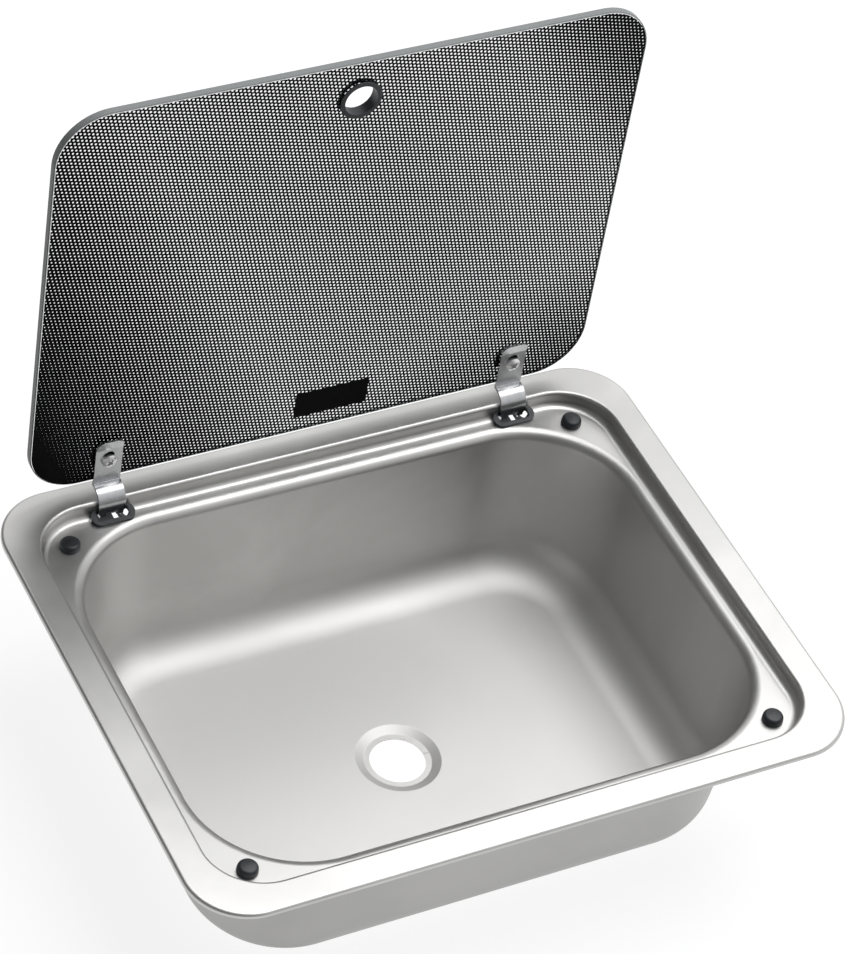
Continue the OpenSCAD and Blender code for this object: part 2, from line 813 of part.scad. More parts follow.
module glass_bush_left() { glass_bush(-1); }
module glass_bush_right() { glass_bush(1); }

// Round metal cap on the outer face of the lid, threaded for the screw
module glass_cap(side) {
    color(bright)
    translate([side * hinge_x, open_y + glass_t + bush_flange_t, screw_z])
        rotate([-90, 0, 0])
            difference() {
                rotate_extrude()
                    rounded_disc_2d(cap_d / 2, cap_h, cap_edge_r);
                translate([0, 0, -over])
                    cylinder(r = screw_d / 2 + screw_play, h = cap_socket + over);
            }
}

module glass_cap_left() { glass_cap(-1); }
module glass_cap_right() { glass_cap(1); }

// Tempered glass pane with its finger hole and the two screw holes
module glass_lid() {
    color(dark_glass)
    translate([0, open_y + glass_t, open_z + lid_l / 2])
        rotate([90, 0, 0])
            difference() {
                union() {
                    linear_extrude(glass_t)
                        plate(lid_w / 2 - glass_bevel, lid_l / 2 - glass_bevel,
                            glass_r - glass_bevel);
                    sweep(lid_w / 2, lid_l / 2, glass_r)
                        polygon([[-2 * glass_bevel, 0], [-glass_bevel, 0], [0, glass_bevel],
                            [0, glass_t - glass_bevel], [-glass_bevel, glass_t],
                            [-2 * glass_bevel, glass_t]]);
                }
                translate([0, lid_l / 2 - finger_inset, -over])
                    cylinder(d = glass_hole_d, h = glass_t + 2 * over);
                for (s = [-1, 1])
                    translate([s * hinge_x, screw_h - lid_l / 2, -over])
                        cylinder(d = bush_d, h = glass_t + 2 * over);
            }
}

// Rubber ring that lines the finger hole
module finger_ring() {
    flange_r = glass_hole_d / 2 + ring_flange;
    color(black)
    translate([0, open_y, finger_z])
        rotate([-90, 0, 0])
            rotate_extrude() {
                translate([finger_d / 2, -ring_flange_t])
                    square([ring_wall, glass_t + 2 * ring_flange_t]);
                for (v = [-ring_flange_t, glass_t])
                    translate([finger_d / 2, v])
                        square([flange_r - finger_d / 2 - ring_flange_t / 2, ring_flange_t]);
                for (v = [-ring_flange_t / 2, glass_t + ring_flange_t / 2])
                    translate([flange_r - ring_flange_t / 2, v])
                        circle(d = ring_flange_t, $fn = 32);
            }
}

sink_basin();
pad_front_left();
pad_front_right();
pad_rear_left();
pad_rear_right();
slot_grommet_left();
slot_grommet_right();
hinge_bracket_left();
hinge_bracket_right();
hinge_pin_left();
hinge_pin_right();
pin_clip_left();
pin_clip_right();
hinge_strap_left();
hinge_strap_right();
strap_gasket_left();
strap_gasket_right();
strap_screw_left();
strap_screw_right();
glass_bush_left();
glass_bush_right();
glass_cap_left();
glass_cap_right();
glass_lid();
finger_ring();
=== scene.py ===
# %% [markdown]
# # A caravan sink with a glass lid
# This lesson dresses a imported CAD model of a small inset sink. The CAD gives the exact solids
# and the joint of the lid. Blender gives the finer shapes, the finishes, the light and the
# camera. Lengths are written in millimetres and turned into metres where a mesh is made.

# %% Load the fixed frame
import math

import bmesh
import bpy
from mathutils import Matrix, Vector


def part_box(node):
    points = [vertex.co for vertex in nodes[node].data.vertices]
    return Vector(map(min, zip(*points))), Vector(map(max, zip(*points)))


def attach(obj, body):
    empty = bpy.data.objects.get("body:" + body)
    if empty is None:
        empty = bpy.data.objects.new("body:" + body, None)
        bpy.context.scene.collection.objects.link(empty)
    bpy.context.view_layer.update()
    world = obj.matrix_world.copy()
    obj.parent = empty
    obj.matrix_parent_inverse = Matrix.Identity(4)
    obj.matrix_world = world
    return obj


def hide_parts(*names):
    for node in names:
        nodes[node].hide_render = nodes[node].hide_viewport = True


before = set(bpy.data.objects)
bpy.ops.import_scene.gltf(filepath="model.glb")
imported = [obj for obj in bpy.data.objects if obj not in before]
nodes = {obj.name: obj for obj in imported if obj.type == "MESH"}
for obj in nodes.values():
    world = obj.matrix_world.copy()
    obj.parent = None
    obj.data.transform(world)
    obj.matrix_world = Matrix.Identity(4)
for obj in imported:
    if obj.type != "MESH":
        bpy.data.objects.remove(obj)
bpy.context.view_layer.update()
MM = 0.001
SIDES = (("left", -1), ("right", 1))

# %% [markdown]
# ## The sizes
# These are the same few sizes that the CAD source is written from. Everything below is worked
# out from them, so a piece that is rebuilt in Blender lands where its solid is. Only the bends of
# the recess and of the bowl's lip are softer here, as the photograph shows them. Heights are
# counted from the lowest point of the sink, X to the right and Y to the back.

# %% Sizes, in millimetres
RIM = dict(hx=205, hy=165, r=36.5)
RECESS = dict(hx=186, hy=146, r=34)
BOWL = dict(hx=174.5, hy=132.5, r=66)
SHEET = 0.8
RIM_Z = 120.3
RECESS_DEPTH = 10.5
BOWL_DEPTH = 117
LEDGE_Z = RIM_Z - RECESS_DEPTH
LIP_H, LIP_BEND = 3, 2.2
RECESS_TOP, RECESS_FOOT = 2.2, 4.3
BOWL_LIP, BOWL_FOOT, DRAFT = 7, 28, 5.5
WASTE_R, WASTE_FLAT_R, WASTE_SEAT_R = 17, 20.5, 26
WASTE_DROP, WASTE_BEND, WASTE_Y = 2.5, 1.4, -3
GLASS_R = 32
LID_HX, LID_L = 181.2, 280.5
LID_Y, LID_Z = 156.4, RIM_Z + 8.7
FINGER_Z, FINGER_R = LID_Z + LID_L - 27, 11.45
HINGE_X, SCREW_Z, BUSH_R = 132, LID_Z + 16, 4
low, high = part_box("glass_lid")
print("lid from", [round(v / MM, 2) for v in low], "to", [round(v / MM, 2) for v in high])

# %% [markdown]
# ## The camera
# The photographer stood to the left of the sink, high up, with a long lens: parallel edges
# hardly run together. These values come from fitting the rim, the lid and the waste hole of
# the CAD model to the picture, with no shift of the lens.

# %% Camera
CAMERA_AT = (-0.85862, -1.29352, 1.75372)
CAMERA_TURN = (45.1303, -7.4685, -25.7220)
LENS, SENSOR, CLIP_END = 148.26, 36, 50

camera_data = bpy.data.cameras.new("camera")
camera_data.lens = LENS
camera_data.sensor_width = SENSOR
camera_data.clip_end = CLIP_END
camera = bpy.data.objects.new("camera", camera_data)
camera.location = CAMERA_AT
camera.rotation_euler = [math.radians(a) for a in CAMERA_TURN]
bpy.context.scene.collection.objects.link(camera)
bpy.context.scene.camera = camera
print("lens", LENS, "mm, distance", round(Vector(CAMERA_AT).length, 2), "m")

# %% [markdown]
# ## Helpers for node trees
# Every tree below is wired in the script. One helper adds a node, sets its properties and its
# plain input values, and joins inputs to sockets that already exist.

# %% Helper: add a node
def add(tree, kind, inputs=(), **settings):
    """One node; its inputs are values or sockets, its settings are properties."""
    node = tree.nodes.new(kind)
    for name, value in settings.items():
        setattr(node, name, value)
    for key, value in dict(inputs).items():
        if isinstance(value, bpy.types.NodeSocket):
            tree.links.new(value, node.inputs[key])
        else:
            node.inputs[key].default_value = value
    return node


def maths(tree, operation, *values, clamp=False):
    """One Math node; its inputs are numbers or sockets."""
    node = add(tree, "ShaderNodeMath", dict(enumerate(values)), operation=operation)
    node.use_clamp = clamp
    return node.outputs[0]


def vector_maths(tree, operation, *values):
    """One Vector Math node; its inputs are vectors or sockets."""
    node = add(tree, "ShaderNodeVectorMath", dict(enumerate(values)), operation=operation)
    return node.outputs["Value" if operation in ("LENGTH", "DOT_PRODUCT") else "Vector"]


def new_tree(name, kind, inputs, outputs):
    """A node group with named sockets: inputs are (name, type, default), outputs (name, type)."""
    tree = bpy.data.node_groups.new(name, kind)
    for label, socket, default in inputs:
        item = tree.interface.new_socket(label, in_out="INPUT", socket_type=socket)
        if default is not None:
            item.default_value = default
    for label, socket in outputs:
        tree.interface.new_socket(label, in_out="OUTPUT", socket_type=socket)
    return tree, tree.nodes.new("NodeGroupInput").outputs, tree.nodes.new("NodeGroupOutput").inputs


def wire(tree, shader, sockets):
    """Joins sockets to the inputs of a shader, by their names."""
    for name, socket in sockets.items():
        tree.links.new(socket, shader.inputs[name])


# %% [markdown]
# ## Shared effects
# Real metal is never one flat value. Three effects break it up, and each is a shader group, so
# that any finish can take it: a fine grain, soft smudges, and the streaks that rolling leaves.
# A group puts out only numbers; the shader stays in each material.

# %% Shader group: fine grain
grain, g_in, g_out = new_tree("fine_grain", "ShaderNodeTree",
    [("Vector", "NodeSocketVector", None), ("Scale", "NodeSocketFloat", 900.0),
     ("Detail", "NodeSocketFloat", 3.0)],
    [("Height", "NodeSocketFloat"), ("Spread", "NodeSocketFloat")])
noise = add(grain, "ShaderNodeTexNoise", {"Vector": g_in["Vector"], "Scale": g_in["Scale"],
    "Detail": g_in["Detail"], "Roughness": 0.6})
grain.links.new(noise.outputs["Fac"], g_out["Height"])
grain.links.new(maths(grain, "SUBTRACT", noise.outputs["Fac"], 0.5), g_out["Spread"])

# %% Shader group: soft smudges
smudge, s_in, s_out = new_tree("soft_smudge", "ShaderNodeTree",
    [("Vector", "NodeSocketVector", None), ("Size", "NodeSocketFloat", 14.0),
     ("Seed", "NodeSocketFloat", 0.0)],
    [("Mask", "NodeSocketFloat")])
patches = add(smudge, "ShaderNodeTexNoise", {"Vector": s_in["Vector"], "W": s_in["Seed"],
    "Scale": s_in["Size"], "Detail": 4.0, "Roughness": 0.55, "Distortion": 0.6},
    noise_dimensions="4D")
mask = add(smudge, "ShaderNodeMapRange", {"Value": patches.outputs["Fac"], "From Min": 0.38,
    "From Max": 0.66}, interpolation_type="SMOOTHSTEP")
smudge.links.new(mask.outputs["Result"], s_out["Mask"])

# %% Shader group: rolling streaks
streaks, t_in, t_out = new_tree("rolling_streaks", "ShaderNodeTree",
    [("Vector", "NodeSocketVector", None), ("Across", "NodeSocketVector", (1, 1, 0.05)),
     ("Scale", "NodeSocketFloat", 400.0)],
    [("Mask", "NodeSocketFloat")])
drawn = vector_maths(streaks, "MULTIPLY", t_in["Vector"], t_in["Across"])
lines = add(streaks, "ShaderNodeTexNoise", {"Vector": drawn, "Scale": t_in["Scale"],
    "Detail": 5.0, "Roughness": 0.62})
sharp = add(streaks, "ShaderNodeMapRange", {"Value": lines.outputs["Fac"], "From Min": 0.34,
    "From Max": 0.68})
streaks.links.new(sharp.outputs["Result"], t_out["Mask"])
print("shader groups:", [g.name for g in bpy.data.node_groups])

# %% [markdown]
# ## Finishes
# Each finish is one Principled shader. Its plain values are given where it is started, and the
# groups change colour, roughness and normal a little over the surface, at the scale of the real
# one. The sheet is satin where it shows, and paler low down, which is a painted pool of light on
# the bowl's floor. Its outside and underside take a darker copy of the same finish, which is
# painted shade. Painted textures could do the same, but a rule needs no image and no seams.

# %% Helpers: materials
BUMP_DEPTH = 0.2 * MM


def material(name, **values):
    """A new material; its Principled inputs are set from names written with underscores."""
    made = bpy.data.materials.new(name)
    made.use_nodes = True
    tree = made.node_tree
    shader = tree.nodes["Principled BSDF"]
    for key, value in values.items():
        shader.inputs[key.replace("_", " ").title().replace("Ior", "IOR")].default_value = value
    place = tree.nodes.new("ShaderNodeTexCoord").outputs["Object"]
    return made, tree, shader, place


def group(tree, of, **inputs):
    """A shader group placed in a material, with its own values."""
    node = add(tree, "ShaderNodeGroup", node_tree=of)
    for key, value in inputs.items():
        socket = node.inputs[key.replace("_", " ").title()]
        if isinstance(value, bpy.types.NodeSocket):
            tree.links.new(value, socket)
        else:
            socket.default_value = value
    return node.outputs


def vary(tree, base, amount, mask):
    """base plus amount times a mask."""
    return maths(tree, "MULTIPLY_ADD", mask, amount, base)


def tint(tree, dark, light, mask):
    """A colour between two, by a mask."""
    return add(tree, "ShaderNodeMix", {"Factor": mask, "A": (*dark, 1), "B": (*light, 1)},
        data_type="RGBA").outputs["Result"]


def bump(tree, height, strength):
    """A normal from a height; all finishes share the depth."""
    return add(tree, "ShaderNodeBump", {"Height": height, "Strength": strength,
        "Distance": BUMP_DEPTH}).outputs["Normal"]


# %% Satin stainless steel, and a darker copy of it that paints shade on the underside
# Between these two heights the sheet turns rougher and paler towards the bottom; the paler part is
# painted light.
LOW_DOWN_FROM, LOW_DOWN_TO = 34, 3
SATIN_ROUGH, LOW_DOWN_ROUGH, SMUDGE_ROUGH, GRAIN_ROUGH = 0.38, 0.19, 0.04, 0.08
SMUDGE_PALE, SATIN_BUMP = 0.5, 0.05


def pressed(name, dark, light):
    """Satin sheet: rougher low down, and paler low down, which is painted light."""
    made, tree, shader, place = material(name, metallic=1.0)
    fine = group(tree, grain, vector=place, scale=1500.0, detail=2.0)
    soft = group(tree, smudge, vector=place, size=9.0)["Mask"]
    height = add(tree, "ShaderNodeSeparateXYZ", {0: place}).outputs["Z"]
    low_down = add(tree, "ShaderNodeMapRange", {"Value": height,
        "From Min": LOW_DOWN_FROM * MM, "From Max": LOW_DOWN_TO * MM},
        interpolation_type="SMOOTHSTEP").outputs["Result"]
    rough = vary(tree, vary(tree, SATIN_ROUGH, LOW_DOWN_ROUGH, low_down), SMUDGE_ROUGH, soft)
    # Paler in random smudges, and paler low down, which is painted light.
    smudge_and_painted_light = maths(tree, "MAXIMUM", maths(tree, "MULTIPLY", soft, SMUDGE_PALE), low_down)
    wire(tree, shader, {"Base Color": tint(tree, dark, light, smudge_and_painted_light),
        "Roughness": vary(tree, rough, GRAIN_ROUGH, fine["Spread"]),
        "Normal": bump(tree, fine["Height"], SATIN_BUMP)})
    return made


satin_steel = pressed("pressed_steel", (0.535, 0.532, 0.523), (0.70, 0.695, 0.685))
# A darker copy of the same steel, painted shade for the outside and the underside.
shaded_under_steel = pressed("underside_shaded_steel", (0.41, 0.408, 0.402), (0.50, 0.497, 0.49))

# %% [markdown]
# ## Hinges, screws and black parts
# The straps are cut from bright rolled strip, which has streaks and mirrors more than the satin
# sheet does. The screws are plated with zinc, which is paler. Plastic and rubber are nearly black
# with a fine matt grain from the mould, so one function makes both, and only numbers differ.

# %% Bright rolled steel of the hinges
ROLLED_ROUGH, STREAK_ROUGH, ROLLED_BUMP = 0.24, 0.03, 0.02

bright_steel, tree, shader, place = material("rolled_steel", metallic=1.0)
rolled = group(tree, streaks, vector=place, across=(1, 0.3, 0.3), scale=260.0)["Mask"]
fine = group(tree, grain, vector=place, scale=2500.0, detail=2.0)
wire(tree, shader, {
    "Base Color": tint(tree, (0.49, 0.497, 0.51), (0.56, 0.565, 0.575), rolled),
    "Roughness": vary(tree, ROLLED_ROUGH, STREAK_ROUGH, rolled),
    "Normal": bump(tree, fine["Height"], ROLLED_BUMP)})

# %% Zinc of the screw heads
ZINC_ROUGH, ZINC_SPREAD = 0.34, 0.06

screw_zinc, tree, shader, place = material("screw_zinc", metallic=1.0)
fine = group(tree, grain, vector=place, scale=1800.0, detail=2.0)
wire(tree, shader, {
    "Base Color": tint(tree, (0.76, 0.765, 0.77), (0.84, 0.845, 0.85), fine["Height"]),
    "Roughness": vary(tree, ZINC_ROUGH, ZINC_SPREAD, fine["Spread"])})

# %% Slate-black moulded plastic and rubber
MOULDED_SPREAD, MOULDED_BUMP = 0.12, 0.12


def moulded(name, dark, light, rough, scale):
    """Plastic or rubber as it leaves the mould."""
    made, tree, shader, place = material(name, ior=1.5)
    fine = group(tree, grain, vector=place, scale=scale, detail=3.0)
    soft = group(tree, smudge, vector=place, size=60.0)["Mask"]
    wire(tree, shader, {"Base Color": tint(tree, dark, light, soft),
        "Roughness": vary(tree, rough, MOULDED_SPREAD, fine["Spread"]),
        "Normal": bump(tree, fine["Height"], MOULDED_BUMP)})
    return made


black_plastic = moulded("slate_plastic", (0.026, 0.030, 0.036), (0.036, 0.041, 0.049),
    rough=0.42, scale=1600.0)
black_rubber = moulded("slate_rubber", (0.020, 0.023, 0.028), (0.030, 0.034, 0.041),
    rough=0.40, scale=1100.0)
print("finishes:", [m.name for m in bpy.data.materials])

# %% [markdown]
# ## Tempered glass
# The pane is plain clear glass with a faint grey tint. Lamps would throw a black shadow behind
# it, because light paths through glass are too rare to find, so a Mix Shader lets shadow rays
# pass. The print on its face is a piece of its own, further down.

# %% Clear glass
SHADOW_TINT = (0.85, 0.87, 0.87, 1)

clear_glass, tree, shader, place = material("clear_glass", roughness=0.01, ior=1.5,
    transmission_weight=1.0)
soft = group(tree, smudge, vector=place, size=5.0)["Mask"]
wire(tree, shader, {"Base Color": tint(tree, (0.95, 0.965, 0.965), (0.98, 0.99, 0.99), soft)})
path = add(tree, "ShaderNodeLightPath")
through = add(tree, "ShaderNodeBsdfTransparent", {"Color": SHADOW_TINT})
mixed = add(tree, "ShaderNodeMixShader", {0: path.outputs["Is Shadow Ray"]})
tree.links.new(shader.outputs[0], mixed.inputs[1])
tree.links.new(through.outputs[0], mixed.inputs[2])
tree.links.new(mixed.outputs[0], tree.nodes["Material Output"].inputs["Surface"])

# %% Ground edge of the glass
ground_edge, tree, shader, place = material("ground_edge", roughness=0.45, ior=1.5)
fine = group(tree, grain, vector=place, scale=1200.0)
wire(tree, shader, {
    "Base Color": tint(tree, (0.26, 0.28, 0.28), (0.36, 0.38, 0.38), fine["Height"])})
print("glass:", clear_glass.name, "and", ground_edge.name)

# %% [markdown]
# ## The dot print
# The lid is printed black, all but a lattice of round clear dots in rows that run a little
# downhill. A dot lattice needs no geometry: the distance to the nearest lattice point decides
# whether the ink is there. A hexagonal lattice is two rectangular ones, the second moved by
# half a cell. The dots shrink to nothing towards three corners, which paints as ink the shade
# that is seen through the glass there, and a plain rectangle near the hinge edge has no dots at
# all.

# %% Shader group: hexagonal dot lattice
DOT_PITCH, DOT_D, DOT_EDGE, ROW_ANGLE = 2.57, 1.46, 0.12, -14.9
dots, d_in, d_out = new_tree("dot_lattice", "ShaderNodeTree",
    [("Vector", "NodeSocketVector", None), ("Pitch", "NodeSocketFloat", DOT_PITCH * MM),
     ("Diameter", "NodeSocketFloat", DOT_D * MM), ("Edge", "NodeSocketFloat", DOT_EDGE * MM),
     ("Angle", "NodeSocketFloat", math.radians(ROW_ANGLE))],
    [("Open", "NodeSocketFloat")])
turned = add(dots, "ShaderNodeVectorRotate", {"Vector": d_in["Vector"], "Angle": d_in["Angle"]},
    rotation_type="Y_AXIS").outputs[0]
part = add(dots, "ShaderNodeSeparateXYZ", {0: turned}).outputs
flat = add(dots, "ShaderNodeCombineXYZ", {"X": part["X"], "Y": part["Z"]}).outputs[0]
cell = add(dots, "ShaderNodeCombineXYZ", {"X": d_in["Pitch"],
    "Y": maths(dots, "MULTIPLY", d_in["Pitch"], math.sqrt(3)), "Z": 1.0}).outputs[0]
half = vector_maths(dots, "MULTIPLY", cell, (0.5, 0.5, 0.5))
minus = vector_maths(dots, "MULTIPLY", cell, (-0.5, -0.5, -0.5))
to_first = vector_maths(dots, "LENGTH", vector_maths(dots, "MULTIPLY",
    vector_maths(dots, "WRAP", flat, half, minus), (1, 1, 0)))
to_second = vector_maths(dots, "LENGTH", vector_maths(dots, "MULTIPLY",
    vector_maths(dots, "WRAP", vector_maths(dots, "ADD", flat, half), half, minus), (1, 1, 0)))
inside = maths(dots, "SUBTRACT", maths(dots, "MULTIPLY", d_in["Diameter"], 0.5),
    maths(dots, "MINIMUM", to_first, to_second))
open_share = maths(dots, "ADD", maths(dots, "DIVIDE", inside, d_in["Edge"]), 0.5, clamp=True)
dots.links.new(open_share, d_out["Open"])

# %% Printed ink
BARE_X, BARE_Z, BARE_HALF = 10.85, LID_Z + 21.5, (23.85, 9.8)
# A fade, painted shade as ink, is a direction in X and Z, and where along it the dots begin and
# where they are whole.
PAINTED_SHADE_FADES = (((0.900, 0.430), -84, 46), ((-0.814, -0.581), -399, -308), ((-0.460, 0.887), -10, 120))
INK_ROUGH, INK_SPREAD = 0.30, 0.08

ink, tree, shader, place = material("printed_ink", base_color=(0.004, 0.004, 0.005, 1),
    ior=1.5, specular_ior_level=0.03)
part = add(tree, "ShaderNodeSeparateXYZ", {0: place}).outputs
shade_fade = 1.0
for (fx, fz), start, end in PAINTED_SHADE_FADES:
    along = maths(tree, "ADD", maths(tree, "MULTIPLY", part["X"], fx),
        maths(tree, "MULTIPLY", part["Z"], fz))
    ramp = add(tree, "ShaderNodeMapRange", {"Value": along, "From Min": start * MM,
        "From Max": end * MM}).outputs["Result"]
    shade_fade = maths(tree, "MULTIPLY", ramp, shade_fade)


def beyond(value, centre, half_size):
    """One where a coordinate lies further than half_size from centre, in millimetres."""
    away = maths(tree, "ABSOLUTE", maths(tree, "SUBTRACT", value, centre * MM))
    return maths(tree, "GREATER_THAN", away, half_size * MM)


outside = maths(tree, "MAXIMUM", beyond(part["X"], BARE_X, BARE_HALF[0]),
    beyond(part["Z"], BARE_Z, BARE_HALF[1]))
# Where the fades fall off, the dots close, so the ink stands in for shade seen through the glass.
across = maths(tree, "MULTIPLY", maths(tree, "POWER", shade_fade, 0.5), DOT_D * MM)
opening = group(tree, dots, vector=place, diameter=across)["Open"]
fine = group(tree, grain, vector=place, scale=800.0)
wire(tree, shader, {
    "Alpha": maths(tree, "SUBTRACT", 1.0, maths(tree, "MULTIPLY", opening, outside)),
    "Roughness": vary(tree, INK_ROUGH, INK_SPREAD, fine["Spread"])})
print("dot pitch", DOT_PITCH, "mm, open share", round(math.pi / 4 * DOT_D ** 2
    / (DOT_PITCH ** 2 * math.sqrt(3) / 2), 2))

# %% [markdown]
# ## Helpers for meshes
# A finished piece sits at the origin with its place in its mesh. Modifiers are evaluated to a
# plain mesh, so nothing is left to change it later, and then the piece is tied to its body.

# %% Helpers: meshes
SAME_POINT = 0.001


def object_from(name, mesh):
    """A new object in the scene, at the origin."""
    made = bpy.data.objects.new(name, mesh)
    bpy.context.scene.collection.objects.link(made)
    return made


def object_from_bmesh(name, bm):
    """The same from a bmesh, which is freed."""
    mesh = bpy.data.meshes.new(name)
    bm.to_mesh(mesh)
    bm.free()
    return object_from(name, mesh)


def shown_mesh(obj):
    """The mesh that an object shows, with its modifiers or the fill of its curve."""
    bpy.context.view_layer.update()
    return bpy.data.meshes.new_from_object(obj.evaluated_get(
        bpy.context.evaluated_depsgraph_get()))


def bake(obj):
    """Puts the result of an object's modifiers in its mesh and removes them."""
    plain = shown_mesh(obj)
    obj.modifiers.clear()
    obj.data = plain
    return obj


def smooth(obj, angle):
    """Smooth shading, with edges sharper than the angle kept and flat faces kept flat."""
    obj.data.shade_smooth()
    obj.data.set_sharp_from_angle(angle=math.radians(angle))
    normals = obj.modifiers.new("normals", "WEIGHTED_NORMAL")
    normals.keep_sharp = True
    normals.weight = 100
    return bake(obj)


def finish(obj, body, finish_material, slot_name, *stands_for):
    """Material, body and replaced nodes of one piece; slot_name is not used."""
    obj.data.materials.clear()
    obj.data.materials.append(finish_material)
    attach(obj, body)
    if stands_for:
        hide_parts(*stands_for)
    print(obj.name, len(obj.data.polygons), "faces")
    return obj


def rounded_rectangle(hx, hy, r, steps, at=(0, 0)):
    """Corner points of a rounded rectangle, counter-clockwise."""
    points = []
    for quarter, (sx, sy) in enumerate(((1, 1), (-1, 1), (-1, -1), (1, -1))):
        for step in range(steps + 1):
            a = math.radians(90 * (quarter + step / steps))
            points.append((at[0] + sx * (hx - r) + r * math.cos(a),
                at[1] + sy * (hy - r) + r * math.sin(a)))
    return [p for i, p in enumerate(points) if math.dist(p, points[i - 1]) > SAME_POINT]


def circle(r, steps, at):
    """Points of a circle, with the given steps to each quarter."""
    return rounded_rectangle(r, r, r, steps, at)


def prism(bm, outline, bottom, top):
    """A closed prism over an outline, added to a bmesh, in millimetres."""
    rings = [[bm.verts.new((x * MM, y * MM, z * MM)) for x, y in outline] for z in (bottom, top)]
    bm.faces.new(list(reversed(rings[0])))
    bm.faces.new(rings[1])
    for i in range(len(outline)):
        j = (i + 1) % len(outline)
        bm.faces.new((rings[0][i], rings[0][j], rings[1][j], rings[1][i]))


# %% [markdown]
# ## The pressed basin
# The real basin is one sheet of steel, pressed so that every level line on it is a rounded
# rectangle, from the turned-down lip to the waste hole, which is a circle. That is a rule, so
# Geometry Nodes makes it. A string of points holds one ring each: its half sizes, its corner
# radius, its height. The tree lays a grid over all rings, carries each grid point to its place
# on its ring, and merges what falls together. Written in plain Python the same shape would
# need every vertex worked out by hand, and a subdivided cage would not hit the true radii.

# %% Geometry Nodes: rings to sheet
rings_tree, r_in, r_out = new_tree("rings_to_sheet", "GeometryNodeTree",
    [("Rings", "NodeSocketGeometry", None), ("Corner Steps", "NodeSocketInt", 16),
     ("Merge Distance", "NodeSocketFloat", 0.005 * MM),
     ("Material", "NodeSocketMaterial", None)],
    [("Sheet", "NodeSocketGeometry")])
t = rings_tree
count = add(t, "GeometryNodeAttributeDomainSize", {0: r_in["Rings"]}).outputs["Point Count"]


def whole(operation, *values):
    """One Integer Math node."""
    return add(t, "FunctionNodeIntegerMath", dict(enumerate(values)),
        operation=operation).outputs[0]


per_corner = whole("ADD", r_in["Corner Steps"], 1)
columns = whole("MULTIPLY_ADD", per_corner, 4, 1)
grid = add(t, "GeometryNodeMeshGrid", {"Vertices X": columns, "Vertices Y": count}).outputs[0]
index = add(t, "GeometryNodeInputIndex").outputs[0]
column = whole("DIVIDE_FLOOR", index, count)
ring = whole("MODULO", index, count)
quarter = whole("DIVIDE_FLOOR", column, per_corner)
step = whole("MODULO", column, per_corner)
quarter_turn = math.pi / 2
angle = maths(t, "MULTIPLY", maths(t, "ADD", quarter,
    maths(t, "DIVIDE", step, r_in["Corner Steps"])), quarter_turn)
middle = maths(t, "MULTIPLY", maths(t, "ADD", quarter, 0.5), quarter_turn)


def sampled(kind, field):
    """The value that the ring of this grid point carries."""
    node = add(t, "GeometryNodeSampleIndex", data_type=kind, domain="POINT")
    t.links.new(r_in["Rings"], node.inputs["Geometry"])
    t.links.new(field, node.inputs["Value"])
    t.links.new(ring, node.inputs["Index"])
    return node.outputs["Value"]


def attribute(name, kind):
    """A named attribute of the string of points."""
    return add(t, "GeometryNodeInputNamedAttribute", {"Name": name},
        data_type=kind).outputs["Attribute"]


centre = sampled("FLOAT_VECTOR", add(t, "GeometryNodeInputPosition").outputs[0])
half_size = sampled("FLOAT_VECTOR", attribute("half_size", "FLOAT_VECTOR"))
radius = sampled("FLOAT", attribute("corner_radius", "FLOAT"))
signs = add(t, "ShaderNodeCombineXYZ", {
    "X": maths(t, "SIGN", maths(t, "COSINE", middle)),
    "Y": maths(t, "SIGN", maths(t, "SINE", middle))}).outputs[0]
arm = add(t, "ShaderNodeCombineXYZ", {"X": maths(t, "COSINE", angle),
    "Y": maths(t, "SINE", angle)}).outputs[0]
reach = add(t, "ShaderNodeCombineXYZ", {"X": radius, "Y": radius}).outputs[0]
corner = vector_maths(t, "MULTIPLY", signs, vector_maths(t, "SUBTRACT", half_size, reach))
bow = add(t, "ShaderNodeVectorMath", {0: arm, "Scale": radius}, operation="SCALE").outputs[0]
moved = add(t, "GeometryNodeSetPosition", {"Geometry": grid, "Position": vector_maths(t, "ADD",
    centre, vector_maths(t, "ADD", corner, bow))}).outputs[0]
merged = add(t, "GeometryNodeMergeByDistance", {"Geometry": moved,
    "Distance": r_in["Merge Distance"]}).outputs[0]


def end_tree(tree, geometry, finish_socket, result):
    """Instances made real, then the material: how both trees end."""
    real = add(tree, "GeometryNodeRealizeInstances", {0: geometry}).outputs[0]
    painted = add(tree, "GeometryNodeSetMaterial", {"Geometry": real,
        "Material": finish_socket}).outputs[0]
    tree.links.new(painted, result)


end_tree(t, merged, r_in["Material"], r_out["Sheet"])
print("rings_to_sheet:", len(t.nodes), "nodes")


# %% Helper: run a tree on a mesh
def run_tree(name, mesh, tree_used, **values):
    """An object with the result of a Geometry Nodes tree as its plain mesh."""
    made = object_from(name, mesh)
    modifier = made.modifiers.new("tree", "NODES")
    modifier.node_group = tree_used
    sockets = {i.name: i.identifier for i in tree_used.interface.items_tree}
    for key, value in values.items():
        modifier[sockets[key.replace("_", " ").title()]] = value
    return bake(made)


def rings_mesh(name, rings):
    """A string of points, one for each ring (half x, half y, corner radius, height, y)."""
    mesh = bpy.data.meshes.new(name)
    mesh.from_pydata([(0, y * MM, z * MM) for _, _, _, z, y in rings],
        [(i, i + 1) for i in range(len(rings) - 1)], [])
    mesh.attributes.new("half_size", "FLOAT_VECTOR", "POINT")
    mesh.attributes.new("corner_radius", "FLOAT", "POINT")
    for i, (hx, hy, r, _, _) in enumerate(rings):
        mesh.attributes["half_size"].data[i].vector = (hx * MM, hy * MM, 0)
        mesh.attributes["corner_radius"].data[i].value = r * MM
    return mesh


# %% [markdown]
# ## The section of the sheet
# From the lip inwards the section is a chain of straight runs and bends. A bend is a short
# list of points on an arc. Each part of the chain is measured from one of three outlines: the
# rim, the recess or the bowl, and u counts outwards from it.

